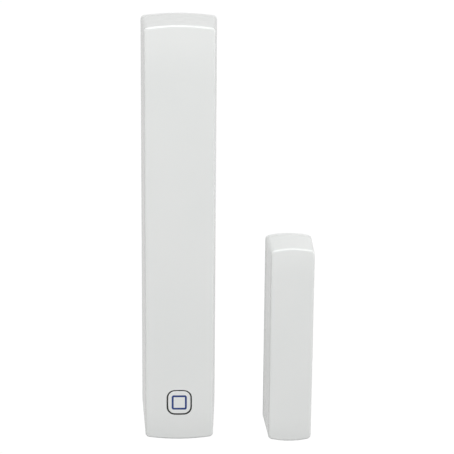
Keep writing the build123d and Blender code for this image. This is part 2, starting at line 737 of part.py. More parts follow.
def buffer_capacitor(x, z):
    base = chip_part(x, z, *BUFFER_BASE)
    base = chamfer(base.edges().filter_by(Axis.Y).sort_by(Axis.Z)[-2:], 1.0)
    foot = BOARD_FRONT + BUFFER_BASE[2]
    can = rod(x, z, BUFFER_R, (foot, foot + BUFFER_HEIGHT))
    return base + fillet(can.edges().sort_by(Axis.Y)[0], 0.4)


MICROCONTROLLER_AT = (-0.6, 5.6)
RADIO_AT = (0.2, 22.0)
CRYSTAL_AT = (-1.0, -14.0)
BUFFER_CAPACITOR_AT = (0.0, 34.0)
CAPACITOR_PLACES = [(-2.6, 12.5), (0.2, 12.5), (2.9, 12.5), (5.2, 6.5), (-3.0, -7.0), (-0.4, -7.0)]
RESISTOR_PLACES = [(2.4, -7.0), (-2.6, -24.0), (0.2, -24.0), (2.4, -21.0), (5.2, 3.2), (5.2, -2.0)]
save("circuit_board", circuit_board())
save("reed_switch_glass", reed_glass())
save("reed_switch_blades", *[reed_blade(sign) for sign in (-1, 1)])
ANTENNA_DEPTH = BOARD_FRONT + ANTENNA_RISE
save("antenna_wire", bent_wire(ANTENNA_X, ANTENNA_DEPTH, ANTENNA_SPAN, ANTENNA_R, 1.5, WEB_FRONT + 0.1))
save("microcontroller", microcontroller(*MICROCONTROLLER_AT))
save("microcontroller_leads", *microcontroller_leads(*MICROCONTROLLER_AT))
save("radio_shield", radio_shield(*RADIO_AT))
save("crystal_can", crystal(*CRYSTAL_AT))
save("buffer_capacitor", buffer_capacitor(*BUFFER_CAPACITOR_AT))
save("chip_capacitors", *[chip_part(x, z, *CHIP_CAPACITOR) for x, z in CAPACITOR_PLACES])
save("chip_resistors", *[chip_part(x, z, *CHIP_RESISTOR) for x, z in RESISTOR_PLACES])
LED_Z = BUTTON_Z + SWITCH_SIZE / 2 + LED_ABOVE
save("status_led", chip_part(LED_SIDE, LED_Z, *STATUS_LED))
save("button_switch_body", switch_body())
save("button_switch_plunger", switch_plunger())

# ================================================================ magnet unit
AT_MAGNET = Pos(MAGNET_X, 0, MAGNET_Z)
MAGNET_HALF = MAGNET_LENGTH / 2
MAGNET_INSIDE = MAGNET_FRONT - MAGNET_FRONT_WALL
CLIP_BACK = MAGNET_STANDOFF + MAGNET_PLATE
BAR_SPAN = (CLIP_BACK + CLIP_FLOOR, CLIP_BACK + CLIP_FLOOR + BAR_MAGNET_SIZE)
MAGNET_TIP = CLIP_BACK + TONGUE_HEIGHT
MAGNET_SEAT = (
    inner_half(MAGNET_HALF, MAGNET_WALL, MAGNET_TIP, END_SLOPE, MAGNET_STANDOFF),
    inner_half(MAGNET_WIDTH / 2, MAGNET_WALL, MAGNET_TIP, MAGNET_SIDE_SLOPE, MAGNET_STANDOFF),
)
MAGNET_TAPE = prism(
    RectangleRounded(MAGNET_TAPE_WIDTH, MAGNET_TAPE_LENGTH, TAPE_CORNER_R),
    (MAGNET_STANDOFF, MAGNET_STANDOFF + TAPE),
)


def magnet_plate():
    plate = drafted_prism(
        MAGNET_WIDTH,
        MAGNET_LENGTH,
        (MAGNET_STANDOFF, CLIP_BACK),
        MAGNET_SIDE_SLOPE,
        MAGNET_STANDOFF,
    )
    plate = fillet(plate.faces().sort_by(Axis.Y)[-1].edges(), PLATE_EDGE_R)
    for sign in (-1, 1):
        plate += tongue(sign, MAGNET_SEAT, MAGNET_TONGUE_WIDTH, CLIP_BACK)
        plate -= screw_hole(
            0,
            sign * MAGNET_SCREW_SPACING / 2,
            MAGNET_SCREW_R,
            MAGNET_SCREW_HEAD_R,
            (MAGNET_STANDOFF, CLIP_BACK),
        )
    return plate - MAGNET_TAPE


def magnet_cover():
    rolls = (MAGNET_ROLL, MAGNET_ROLL_DROP, MAGNET_ROLL, MAGNET_ROLL_DROP)
    cover = shell(
        MAGNET_WIDTH,
        MAGNET_LENGTH,
        (MAGNET_COVER_START, MAGNET_FRONT),
        MAGNET_WALL,
        MAGNET_FRONT_WALL,
        rolls,
        MAGNET_SIDE_SLOPE,
        MAGNET_STANDOFF,
    )
    for sign in (-1, 1):
        cover -= hook_groove(sign, MAGNET_SEAT, MAGNET_TONGUE_WIDTH, CLIP_BACK)
    return cover


def magnet_clip():
    """A tray that holds the bar magnet by its sides and ends."""
    half_w = BAR_MAGNET_SIZE / 2 + CLIP_WALL
    half_l = BAR_MAGNET_LENGTH / 2 + CLIP_WALL
    tray = block((-half_w, half_w), (CLIP_BACK, BAR_SPAN[0] + CLIP_GRIP), (-half_l, half_l))
    tray -= block(
        (-BAR_MAGNET_SIZE / 2, BAR_MAGNET_SIZE / 2),
        (BAR_SPAN[0], BAR_SPAN[1] + 1),
        (-BAR_MAGNET_LENGTH / 2, BAR_MAGNET_LENGTH / 2),
    )
    window = BAR_MAGNET_LENGTH / 4
    return tray - block((-half_w - 1, half_w + 1), (BAR_SPAN[0] + 1, BAR_SPAN[1]), (-window, window))


def bar_magnet():
    bar = block(
        (-BAR_MAGNET_SIZE / 2, BAR_MAGNET_SIZE / 2),
        BAR_SPAN,
        (-BAR_MAGNET_LENGTH / 2, BAR_MAGNET_LENGTH / 2),
    )
    return chamfer(bar.edges(), 0.3)


def magnet_foam():
    """A pad that keeps the magnet from rattling against the cover."""
    half_w = BAR_MAGNET_SIZE / 2 - FOAM_INSET
    half_l = BAR_MAGNET_LENGTH / 2 - 1.5
    return block((-half_w, half_w), (BAR_SPAN[1], MAGNET_INSIDE - 0.1), (-half_l, half_l))


save("magnet_cover", AT_MAGNET * magnet_cover())
save("magnet_wall_plate", AT_MAGNET * magnet_plate())
save("magnet_clip", AT_MAGNET * magnet_clip())
save("bar_magnet", AT_MAGNET * bar_magnet())
save("magnet_foam_pad", AT_MAGNET * magnet_foam())
save("magnet_wall_tape", AT_MAGNET * MAGNET_TAPE)
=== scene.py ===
from math import cos, pi, radians, sin

import bmesh
import bpy
from mathutils import Matrix, Vector


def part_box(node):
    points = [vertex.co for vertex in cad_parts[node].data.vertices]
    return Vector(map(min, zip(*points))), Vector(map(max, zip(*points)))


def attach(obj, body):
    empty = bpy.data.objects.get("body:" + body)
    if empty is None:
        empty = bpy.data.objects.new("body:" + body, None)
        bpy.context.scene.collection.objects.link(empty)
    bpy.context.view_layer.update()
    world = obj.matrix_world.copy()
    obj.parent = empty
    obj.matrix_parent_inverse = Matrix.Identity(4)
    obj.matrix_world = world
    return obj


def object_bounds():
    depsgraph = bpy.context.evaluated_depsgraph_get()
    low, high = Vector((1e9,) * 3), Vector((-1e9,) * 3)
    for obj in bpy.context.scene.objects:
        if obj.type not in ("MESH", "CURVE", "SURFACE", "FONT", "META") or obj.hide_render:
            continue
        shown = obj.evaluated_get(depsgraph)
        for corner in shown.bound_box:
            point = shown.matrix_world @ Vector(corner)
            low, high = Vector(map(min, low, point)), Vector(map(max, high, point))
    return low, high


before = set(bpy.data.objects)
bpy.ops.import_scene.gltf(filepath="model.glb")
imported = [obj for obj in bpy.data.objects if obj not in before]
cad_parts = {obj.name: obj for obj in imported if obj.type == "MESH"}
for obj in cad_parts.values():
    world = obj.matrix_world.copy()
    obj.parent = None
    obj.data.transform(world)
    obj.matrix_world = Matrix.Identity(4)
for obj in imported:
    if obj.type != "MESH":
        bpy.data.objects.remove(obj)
cad_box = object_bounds()

# ---------------------------------------------------------------- housings: the two covers
# Both covers are injection moulded in gloss white ABS, with 1.2 to 1.4 mm walls. They snap over
# their wall plates. A polished tool leaves a faint orange peel and slow changes in the gloss.


def put(tree, kind, inputs=None, **settings):
    """Add a shader node. An input takes a value, or another node's output."""
    node = tree.nodes.new("ShaderNode" + kind)
    for name, value in settings.items():
        setattr(node, name, value)
    for name, value in (inputs or {}).items():
        if isinstance(value, bpy.types.NodeSocket):
            tree.links.new(value, node.inputs[name])
        else:
            node.inputs[name].default_value = value
    return node


def shader_group(name, inputs, outputs):
    """An empty node group with named sockets, its input node and its output node."""
    tree = bpy.data.node_groups.new(name, "ShaderNodeTree")
    for label, value in inputs.items():
        kind = "NodeSocketColor" if isinstance(value, tuple) else "NodeSocketFloat"
        tree.interface.new_socket(label, in_out="INPUT", socket_type=kind).default_value = value
    for label in outputs:
        kind = "NodeSocketColor" if label == "Colour" else "NodeSocketFloat"
        tree.interface.new_socket(label, in_out="OUTPUT", socket_type=kind)
    return tree, tree.nodes.new("NodeGroupInput"), tree.nodes.new("NodeGroupOutput")


def moulded_skin():
    """Moulded plastic: slow colour flow, handling haze in the gloss, tool texture and dust specks."""
    tree, given, made = shader_group(
        "moulded_skin",
        {
            "Colour": (0.8, 0.8, 0.8, 1.0),
            "Flow Colour": (0.8, 0.8, 0.8, 1.0),
            "Roughness": 0.3,
            "Haze": 0.08,
            "Peel": 0.5,
            "Grain": 0.5,
            "Grain Scale": 5000.0,
            "Specks": 0.0,
        },
        ("Colour", "Roughness", "Height"),
    )
    place = put(tree, "TexCoord").outputs["Object"]
    flow = put(tree, "TexNoise", {"Vector": place, "Scale": 55.0, "Detail": 3.0})
    flow_mask = put(
        tree, "MapRange", {"Value": flow.outputs["Fac"], "From Min": 0.35, "From Max": 0.65}
    )
    long_way = put(tree, "Mapping", {"Vector": place, "Scale": (420.0, 420.0, 90.0)})
    rubs = put(tree, "TexNoise", {"Vector": long_way.outputs[0], "Scale": 1.0, "Detail": 5.0})
    peel = put(tree, "TexNoise", {"Vector": place, "Scale": 700.0, "Detail": 1.0})
    grain = put(
        tree, "TexNoise", {"Vector": place, "Scale": given.outputs["Grain Scale"], "Detail": 2.0}
    )
    dust = put(tree, "TexVoronoi", {"Vector": place, "Scale": 900.0, "Randomness": 1.0})
    speck = put(
        tree,
        "MapRange",
        {
            "Value": dust.outputs["Distance"],
            "From Min": 0.05,
            "From Max": 0.11,
            "To Min": 1.0,
            "To Max": 0.0,
        },
    )
    cell_shade = put(tree, "SeparateColor", {"Color": dust.outputs["Color"]})
    rare = put(tree, "Math", {0: cell_shade.outputs[0], 1: 0.86}, operation="GREATER_THAN")
    speck_here = put(
        tree, "Math", {0: speck.outputs[0], 1: rare.outputs[0]}, operation="MULTIPLY"
    )
    speck_mask = put(
        tree, "Math", {0: speck_here.outputs[0], 1: given.outputs["Specks"]}, operation="MULTIPLY"
    )
    body = put(
        tree,
        "Mix",
        {0: flow_mask.outputs[0], 6: given.outputs["Colour"], 7: given.outputs["Flow Colour"]},
        data_type="RGBA",
    )
    dusty = put(
        tree,
        "Mix",
        {0: speck_mask.outputs[0], 6: body.outputs[2], 7: (0.42, 0.41, 0.38, 1.0)},
        data_type="RGBA",
    )
    haze = put(tree, "Math", {0: rubs.outputs["Fac"], 1: -0.5}, operation="ADD")
    haze_on = put(
        tree,
        "Math",
        {0: haze.outputs[0], 1: given.outputs["Haze"], 2: given.outputs["Roughness"]},
        operation="MULTIPLY_ADD",
    )
    dull = put(
        tree,
        "Math",
        {0: speck_mask.outputs[0], 1: 0.4, 2: haze_on.outputs[0]},
        operation="MULTIPLY_ADD",
    )
    peel_high = put(
        tree, "Math", {0: peel.outputs["Fac"], 1: given.outputs["Peel"]}, operation="MULTIPLY"
    )
    height = put(
        tree,
        "Math",
        {0: grain.outputs["Fac"], 1: given.outputs["Grain"], 2: peel_high.outputs[0]},
        operation="MULTIPLY_ADD",
    )
    tree.links.new(dusty.outputs[2], made.inputs["Colour"])
    tree.links.new(dull.outputs[0], made.inputs["Roughness"])
    tree.links.new(height.outputs[0], made.inputs["Height"])
    return tree


def finish(name, skin, skin_values, relief, shader_values=None):
    """A material: a shader group gives colour, roughness and relief, in metres of bump."""
    material = bpy.data.materials.new(name)
    material.use_nodes = True
    tree = material.node_tree
    shader = tree.nodes["Principled BSDF"]
    group = tree.nodes.new("ShaderNodeGroup")
    group.node_tree = skin
    for label, value in skin_values.items():
        group.inputs[label].default_value = value
    bump = put(
        tree, "Bump", {"Height": group.outputs["Height"], "Distance": relief, "Strength": 1.0}
    )
    tree.links.new(group.outputs["Colour"], shader.inputs["Base Color"])
    tree.links.new(group.outputs["Roughness"], shader.inputs["Roughness"])
    tree.links.new(bump.outputs["Normal"], shader.inputs["Normal"])
    for label, value in (shader_values or {}).items():
        shader.inputs[label].default_value = value
    return material


def dress(material, *nodes):
    """Give CAD nodes their finish."""
    for node in nodes:
        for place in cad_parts[node].material_slots:
            place.material = material


PLASTIC = moulded_skin()
GLOSS_WHITE = {
    "Colour": (0.80, 0.812, 0.802, 1.0),
    "Flow Colour": (0.785, 0.80, 0.79, 1.0),
    "Roughness": 0.22,
    "Haze": 0.10,
    "Peel": 0.7,
    "Grain": 0.12,
    "Grain Scale": 5200.0,
    "Specks": 0.10,
}
housing_white = finish("housing_white", PLASTIC, GLOSS_WHITE, 0.000012, {"IOR": 1.5})
dress(housing_white, "sensor_front_cover", "magnet_cover")

# ---------------------------------------------------------------- push button
# The cap is the same white plastic, with a navy square moulded into its face as a second shot.
# It slides in a thin black silicone gasket that seals the cover's opening.
BUTTON_WHITE = dict(GLOSS_WHITE, Roughness=0.23, Peel=0.2, Specks=0.0)
button_white = finish("button_white", PLASTIC, BUTTON_WHITE, 0.000008, {"IOR": 1.5})
inlay_navy = finish(
    "inlay_navy",
    PLASTIC,
    {
        "Colour": (0.006, 0.034, 0.19, 1.0),
        "Flow Colour": (0.008, 0.042, 0.22, 1.0),
        "Roughness": 0.28,
        "Haze": 0.1,
        "Peel": 0.2,
        "Grain": 0.2,
    },
    0.000006,
    {"IOR": 1.5},
)
gasket_black = finish(
    "gasket_black",
    PLASTIC,
    {
        "Colour": (0.008, 0.009, 0.008, 1.0),
        "Flow Colour": (0.013, 0.014, 0.012, 1.0),
        "Roughness": 0.62,
        "Haze": 0.2,
        "Peel": 0.1,
        "Grain": 1.0,
        "Grain Scale": 9000.0,
        "Specks": 0.5,
    },
    0.000015,
    {"IOR": 1.42},
)
dress(button_white, "button_cap")
dress(inlay_navy, "button_square_inlay")
dress(gasket_black, "button_gasket")

# ---------------------------------------------------------------- wall plates and tapes
# Both wall plates are moulded in a satin white, spark eroded on the outside. Each has a strip of
# grey foam tape let into its back, and two countersunk holes for wall screws.
plate_white = finish(
    "plate_white",
    PLASTIC,
    dict(GLOSS_WHITE, Roughness=0.42, Haze=0.12, Peel=0.3, Grain=1.0, Specks=0.35),
    0.000016,
    {"IOR": 1.5},
)
foam_tape = finish(
    "foam_tape",
    PLASTIC,
    {
        "Colour": (0.20, 0.205, 0.21, 1.0),
        "Flow Colour": (0.27, 0.272, 0.275, 1.0),
        "Roughness": 0.82,
        "Haze": 0.2,
        "Peel": 1.0,
        "Grain": 1.6,
        "Grain Scale": 3600.0,
        "Specks": 0.8,
    },
    0.00008,
    {"IOR": 1.4},
)
dress(plate_white, "sensor_wall_plate", "magnet_wall_plate")
dress(foam_tape, "sensor_wall_tape", "magnet_wall_tape", "magnet_foam_pad")

# ---------------------------------------------------------------- marks of the mould on both plates
# Ejector pins push each plate out of its tool. They leave shallow witness rings on the side that the
# cover hides: four between the ribs of the sensor's plate, and one at each end of the magnet's.
PLATE, MAGNET_PLATE = 0.0022, 0.0018
SENSOR_PINS, MAGNET_PIN = (0.0205, 0.0395), 0.0152
RING_RADIUS, RING_WIDTH, RING_RISE, RING_SINK = 0.0014, 0.00022, 0.00004, 0.00003


def settle(name, form, material, body):
    """Turn a finished form into a piece that rides on a body."""
    bmesh.ops.recalc_face_normals(form, faces=form.faces)
    mesh = bpy.data.meshes.new(name)
    form.to_mesh(mesh)
    form.free()
    mesh.materials.append(material)
    mesh.shade_smooth()
    mesh.set_sharp_from_angle(angle=radians(35))
    piece = bpy.data.objects.new(name, mesh)
    bpy.context.scene.collection.objects.link(piece)
    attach(piece, body)
    return piece


def turn(form, profile, centre, axis, steps):
    """Spin a closed profile, given as points, right round an axis."""
    loop = [form.verts.new(point) for point in profile]
    edges = [form.edges.new((a, b)) for a, b in zip(loop, loop[1:] + loop[:1])]
    bmesh.ops.spin(
        form, geom=loop + edges, cent=centre, axis=axis, angle=2 * pi, steps=steps, use_merge=True
    )


def witness_ring(form, x, y, z):
    """A flat raised ring on a face that looks along -Y."""
    inner = x + RING_RADIUS
    outer = inner + RING_WIDTH
    low, high = y + RING_SINK, y - RING_RISE
    profile = [(inner, low, z), (inner, high, z), (outer, high, z), (outer, low, z)]
    turn(form, profile, (x, y, z), (0, 1, 0), 40)


plate_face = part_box("sensor_wall_plate")[1].y - PLATE
sensor_marks = bmesh.new()
for side in (-1, 1):
    for pin in SENSOR_PINS:
        witness_ring(sensor_marks, 0.0, plate_face, side * pin)
settle("sensor_plate_marks", sensor_marks, plate_white, "wall_plate")

magnet_low, magnet_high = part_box("magnet_wall_plate")
magnet_x = (magnet_low.x + magnet_high.x) / 2
magnet_z = (magnet_low.z + magnet_high.z) / 2
magnet_face = magnet_high.y - MAGNET_PLATE
magnet_marks = bmesh.new()
for side in (-1, 1):
    witness_ring(magnet_marks, magnet_x, magnet_face, magnet_z + side * MAGNET_PIN)
settle("magnet_plate_marks", magnet_marks, plate_white, "magnet_base")

# ---------------------------------------------------------------- battery carrier and magnet tray
# Both are moulded in grey glass-filled nylon, so they are satin, with fine flow streaks. The carrier
# holds two cells in a row and is screwed to the cover's posts; the tray is part of the magnet's plate.
carrier_grey = finish(
    "carrier_grey",
    PLASTIC,
    {
        "Colour": (0.30, 0.315, 0.325, 1.0),
        "Flow Colour": (0.345, 0.36, 0.37, 1.0),
        "Roughness": 0.46,
        "Haze": 0.16,
        "Peel": 0.5,
        "Grain": 1.0,
        "Grain Scale": 6500.0,
        "Specks": 0.25,
    },
    0.000022,
    {"IOR": 1.5},
)
dress(carrier_grey, "battery_carrier", "magnet_clip")

# ---------------------------------------------------------------- sprung contacts, screws and cans
# Contact plates and coil springs are nickel plated, the four screws are zinc plated steel, and the
# shield and crystal cans are tinned sheet. Rolling and handling leave fine lines and dull patches.


def worked_metal():
    """Plated metal: rolling lines along Z, dull finger patches and small dents."""
    tree, given, made = shader_group(
        "worked_metal",
        {
            "Colour": (0.7, 0.7, 0.7, 1.0),
            "Tarnish": (0.5, 0.47, 0.42, 1.0),
            "Roughness": 0.25,
            "Haze": 0.2,
            "Lines": 0.6,
            "Dents": 0.4,
        },
        ("Colour", "Roughness", "Height"),
    )
    place = put(tree, "TexCoord").outputs["Object"]
    drawn = put(tree, "Mapping", {"Vector": place, "Scale": (9000.0, 9000.0, 350.0)})
    lines = put(tree, "TexNoise", {"Vector": drawn.outputs[0], "Scale": 1.0, "Detail": 3.0})
    patches = put(tree, "TexNoise", {"Vector": place, "Scale": 420.0, "Detail": 4.0})
    dull = put(
        tree, "MapRange", {"Value": patches.outputs["Fac"], "From Min": 0.48, "From Max": 0.68}
    )
    dents = put(tree, "TexVoronoi", {"Vector": place, "Scale": 1500.0, "Randomness": 1.0})
    body = put(
        tree,
        "Mix",
        {0: dull.outputs[0], 6: given.outputs["Colour"], 7: given.outputs["Tarnish"]},
        data_type="RGBA",
    )
    rough = put(
        tree,
        "Math",
        {0: dull.outputs[0], 1: given.outputs["Haze"], 2: given.outputs["Roughness"]},
        operation="MULTIPLY_ADD",
    )
    dent_high = put(
        tree,
        "Math",
        {0: dents.outputs["Distance"], 1: given.outputs["Dents"]},
        operation="MULTIPLY",
    )
    height = put(
        tree,
        "Math",
        {0: lines.outputs["Fac"], 1: given.outputs["Lines"], 2: dent_high.outputs[0]},
        operation="MULTIPLY_ADD",
    )
    tree.links.new(body.outputs[2], made.inputs["Colour"])
    tree.links.new(rough.outputs[0], made.inputs["Roughness"])
    tree.links.new(height.outputs[0], made.inputs["Height"])
    return tree


METAL = worked_metal()


def metal(name, colour, tarnish, roughness, lines=0.6, dents=0.4, relief=0.000006):
    """One plated or bare metal, with its own colour and gloss."""
    values = {
        "Colour": (*colour, 1.0),
        "Tarnish": (*tarnish, 1.0),
        "Roughness": roughness,
        "Lines": lines,
        "Dents": dents,
    }
    return finish(name, METAL, values, relief, {"Metallic": 1.0})


nickel_strip = metal("nickel_strip", (0.70, 0.66, 0.59), (0.56, 0.51, 0.43), 0.2)
screw_steel = metal("screw_steel", (0.52, 0.53, 0.55), (0.40, 0.40, 0.39), 0.28, dents=0.9)
shield_tin = metal("shield_tin", (0.66, 0.66, 0.65), (0.52, 0.51, 0.49), 0.3)
lead_tin = metal("lead_tin", (0.72, 0.72, 0.73), (0.58, 0.57, 0.55), 0.22, lines=0.2)
capacitor_can = metal("capacitor_can", (0.76, 0.77, 0.79), (0.64, 0.64, 0.65), 0.24)
antenna_copper = metal("antenna_copper", (0.60, 0.25, 0.12), (0.42, 0.17, 0.09), 0.18)
cell_steel = metal("cell_steel", (0.64, 0.64, 0.63), (0.54, 0.53, 0.50), 0.2, dents=0.8)
dress(nickel_strip, "contact_plates", "battery_springs")
dress(screw_steel, "carrier_screws")
dress(shield_tin, "radio_shield", "crystal_can")
dress(lead_tin, "microcontroller_leads", "reed_switch_blades")
dress(capacitor_can, "buffer_capacitor")
dress(antenna_copper, "antenna_wire")
dress(cell_steel, "cell_lower", "cell_upper")

# ---------------------------------------------------------------- cells
# Two AAA cells lie end to end. Each steel can wears a shrunk plastic sleeve that turns in over both
# shoulders, with a copper coloured band at its positive end and plain printed signs.
SLEEVE_AIR, SLEEVE_WALL = 0.00001, 0.00006
SHOULDER = 0.0005
CELL_CAP = 0.001
LIP = 0.0007
SLEEVE_STEPS = 10
BAND_START = (0.716, 0.720)
LINE_START, LINE_END = (0.700, 0.702), (0.712, 0.714)
PLUS_AT, MINUS_AT = 0.86, 0.08
SIGN_LENGTH, SIGN_STROKE, SIGN_ARM, SIGN_ARM_OUT = 0.0026, 0.0006, 0.001, 0.0008
INK = 0.000004
cell_jacket = finish(
    "cell_jacket",
    PLASTIC,
    {
        "Colour": (0.016, 0.018, 0.022, 1.0),
        "Flow Colour": (0.02, 0.022, 0.026, 1.0),
        "Roughness": 0.22,
        "Haze": 0.14,
        "Peel": 1.0,
        "Grain": 0.1,
        "Specks": 0.25,
    },
    0.00002,
    {"IOR": 1.5, "Coat Weight": 0.3, "Coat Roughness": 0.12},
)
jacket_tree = cell_jacket.node_tree
jacket_shader = jacket_tree.nodes["Principled BSDF"]
jacket_body = jacket_shader.inputs["Base Color"].links[0].from_socket
along = put(jacket_tree, "Attribute", attribute_name="along").outputs["Fac"]
band = put(
    jacket_tree,
    "MapRange",
    {"Value": along, "From Min": BAND_START[0], "From Max": BAND_START[1]},
)
foil = put(
    jacket_tree,
    "Mix",
    {0: band.outputs[0], 6: jacket_body, 7: (0.50, 0.235, 0.10, 1.0)},
    data_type="RGBA",
)
line_up = put(
    jacket_tree,
    "MapRange",
    {"Value": along, "From Min": LINE_START[0], "From Max": LINE_START[1]},
)
line_down = put(
    jacket_tree,
    "MapRange",
    {
        "Value": along,
        "From Min": LINE_END[0],
        "From Max": LINE_END[1],
        "To Min": 1.0,
        "To Max": 0.0,
    },
)
line = put(
    jacket_tree, "Math", {0: line_up.outputs[0], 1: line_down.outputs[0]}, operation="MULTIPLY"
)
lined = put(
    jacket_tree,
    "Mix",
    {0: line.outputs[0], 6: foil.outputs[2], 7: (0.62, 0.63, 0.62, 1.0)},
    data_type="RGBA",
)
jacket_tree.links.new(lined.outputs[2], jacket_shader.inputs["Base Color"])
band_metal = put(jacket_tree, "Math", {0: band.outputs[0], 1: 0.85}, operation="MULTIPLY")
jacket_tree.links.new(band_metal.outputs[0], jacket_shader.inputs["Metallic"])
sign_ink = finish(
    "sign_ink",
    PLASTIC,
    dict(GLOSS_WHITE, Roughness=0.35, Grain=0.6, Specks=0.0),
    0.000006,
)


def arc(centre_r, centre_z, radius, start, end, steps):
    """Points of an arc in a plane through the cell's axis, as (r, z)."""
    turns = [start + (end - start) * step / steps for step in range(steps + 1)]
    return [(centre_r + radius * cos(a), centre_z + radius * sin(a)) for a in turns]


def sleeve_profile(can_r, low, high):
    """Outer line from the lower lip to the upper one, and back along the inner line."""
    sides = []
    for offset in (SLEEVE_AIR + SLEEVE_WALL, SLEEVE_AIR):
        inner = can_r - SHOULDER
        lower = arc(inner, low + SHOULDER, SHOULDER + offset, -pi / 2, 0, 6)
        upper = arc(inner, high - SHOULDER, SHOULDER + offset, 0, pi / 2, 6)
        rise = (high - low - 2 * SHOULDER) / SLEEVE_STEPS
        heights = [low + SHOULDER + rise * step for step in range(1, SLEEVE_STEPS)]
        straight = [(can_r + offset, height) for height in heights]
        lips = [(inner - LIP, low - offset)], [(inner - LIP, high + offset)]
        sides.append(lips[0] + lower + straight + upper + lips[1])
    return sides[0] + sides[1][::-1]


def sign_bar(form, can_r, axis_y, z, width, height):
    """A printed bar, wrapped on the back of the sleeve."""
    strip = bmesh.ops.create_grid(form, x_segments=8, y_segments=1, size=0.5)["verts"]
    reach = can_r + SLEEVE_AIR + SLEEVE_WALL + INK
    for vert in strip:
        angle = vert.co.x * width / can_r
        up_by = vert.co.y * height
        vert.co = (-reach * sin(angle), axis_y + reach * cos(angle), z + up_by)


for name in ("lower", "upper"):
    low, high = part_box("cell_" + name)
    axis_y = (low.y + high.y) / 2
    can_r = (high.x - low.x) / 2
    can_top = high.z - CELL_CAP
    sleeve = bmesh.new()
    outline = sleeve_profile(can_r, low.z, can_top)
    profile = [(radius, axis_y, z) for radius, z in outline]
    turn(sleeve, profile, (0, axis_y, 0), (0, 0, 1), 72)
    piece = settle(f"cell_sleeve_{name}", sleeve, cell_jacket, "sensor_unit")
    shares = piece.data.attributes.new("along", "FLOAT", "POINT")
    for index, vert in enumerate(piece.data.vertices):
        shares.data[index].value = (vert.co.z - low.z) / (can_top - low.z)
    signs = bmesh.new()
    plus_z = low.z + PLUS_AT * (can_top - low.z)
    minus_z = low.z + MINUS_AT * (can_top - low.z)
    sign_bar(signs, can_r, axis_y, plus_z, SIGN_LENGTH, SIGN_STROKE)
    sign_bar(signs, can_r, axis_y, plus_z + SIGN_ARM_OUT, SIGN_STROKE, SIGN_ARM)
    sign_bar(signs, can_r, axis_y, plus_z - SIGN_ARM_OUT, SIGN_STROKE, SIGN_ARM)
    sign_bar(signs, can_r, axis_y, minus_z, SIGN_LENGTH, SIGN_STROKE)
    bmesh.ops.solidify(signs, geom=signs.faces, thickness=INK)
    settle(f"cell_signs_{name}", signs, sign_ink, "sensor_unit")

cell_seal = finish(
    "cell_seal",
    PLASTIC,
    {
        "Colour": (0.012, 0.012, 0.012, 1.0),
        "Flow Colour": (0.02, 0.02, 0.02, 1.0),
        "Roughness": 0.5,
        "Grain": 0.8,
    },
    0.00001,
)
dress(cell_seal, "cell_seals")

# ---------------------------------------------------------------- circuit board
# A 1 mm fibreglass board with green solder mask over copper. The mask is glossy, and the copper
# areas under it read as lighter green blocks with fine edges.
board_green = finish(
    "board_green",
    PLASTIC,
    {
        "Colour": (0.010, 0.085, 0.038, 1.0),
        "Flow Colour": (0.012, 0.10, 0.045, 1.0),
        "Roughness": 0.26,
        "Haze": 0.1,
        "Peel": 0.3,
        "Grain": 0.5,
        "Grain Scale": 4200.0,
        "Specks": 0.2,
    },
    0.000014,
    {"IOR": 1.52},
)
board_tree = board_green.node_tree
board_shader = board_tree.nodes["Principled BSDF"]
board_colour = board_shader.inputs["Base Color"].links[0].from_socket
board_place = put(board_tree, "TexCoord").outputs["Object"]
pours = put(
    board_tree,
    "TexVoronoi",
    {"Vector": board_place, "Scale": 260.0, "Randomness": 0.7},
    distance="CHEBYCHEV",
)
pour_mask = put(
    board_tree,
    "MapRange",
    {
        "Value": pours.outputs["Distance"],
        "From Min": 0.40,
        "From Max": 0.43,
        "To Min": 0.65,
        "To Max": 0.0,
    },
)
coppered = put(
    board_tree,
    "Mix",
    {0: pour_mask.outputs[0], 6: board_colour, 7: (0.035, 0.19, 0.075, 1.0)},
    data_type="RGBA",
)
board_tree.links.new(coppered.outputs[2], board_shader.inputs["Base Color"])
dress(board_green, "circuit_board")

# ---------------------------------------------------------------- chips, passives and their joints
# Moulded epoxy chips, ceramic capacitors and glazed resistors are soldered flat on the board. Tinned
# end caps wrap the small parts, and each through lead and chip foot sits in a small solder fillet.
CAP_SHARE, CAP_RISE, CAP_EDGE = 0.2, 0.00002, 0.00005
LEAD_R = 0.00028
REED_JOINT, ANTENNA_JOINT, TAB_JOINT = 0.0007, 0.0009, 0.0011
LEAD_JOINT_RISE, TAB_JOINT_RISE = 0.0006, 0.00055
JOINT_STEPS, JOINT_TAPER, JOINT_HOLLOW = 5, 0.62, 1.8
JOINT_CORE, JOINT_SINK = 0.00005, 0.00001
FOOT_LIP, FOOT_EDGE = 0.00004, 0.00003
FOOT_FRONT, FOOT_BACK = 0.0001, 0.000002


def solids_of(node):
    """The box of each separate solid in a CAD node, as (lowest, highest) corners."""
    form = bmesh.new()
    form.from_mesh(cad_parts[node].data)
    bmesh.ops.remove_doubles(form, verts=form.verts, dist=0.000001)
    left = set(form.verts)
    boxes = []
    while left:
        island, edge = set(), {left.pop()}
        while edge:
            island |= edge
            edge = {e.other_vert(v) for v in edge for e in v.link_edges} - island
        left -= island
        points = [v.co for v in island]
        low = Vector(min(p[i] for p in points) for i in range(3))
        high = Vector(max(p[i] for p in points) for i in range(3))
        boxes.append((low, high))
    form.free()
    return sorted(boxes, key=lambda box: (round(box[0].z, 5), round(box[0].x, 5)))


def soft_block(form, low, high, round_by):
    """A block between two corners, with its edges rounded."""
    size = high - low
    place = Matrix.Translation((low + high) / 2) @ Matrix.Diagonal((*size, 1.0))
    verts = bmesh.ops.create_cube(form, size=1.0, matrix=place)["verts"]
    edges = list({edge for vert in verts for edge in vert.link_edges})
    bmesh.ops.bevel(
        form, geom=edges, offset=round_by, segments=2, profile=0.5, affect="EDGES", material=-1
    )


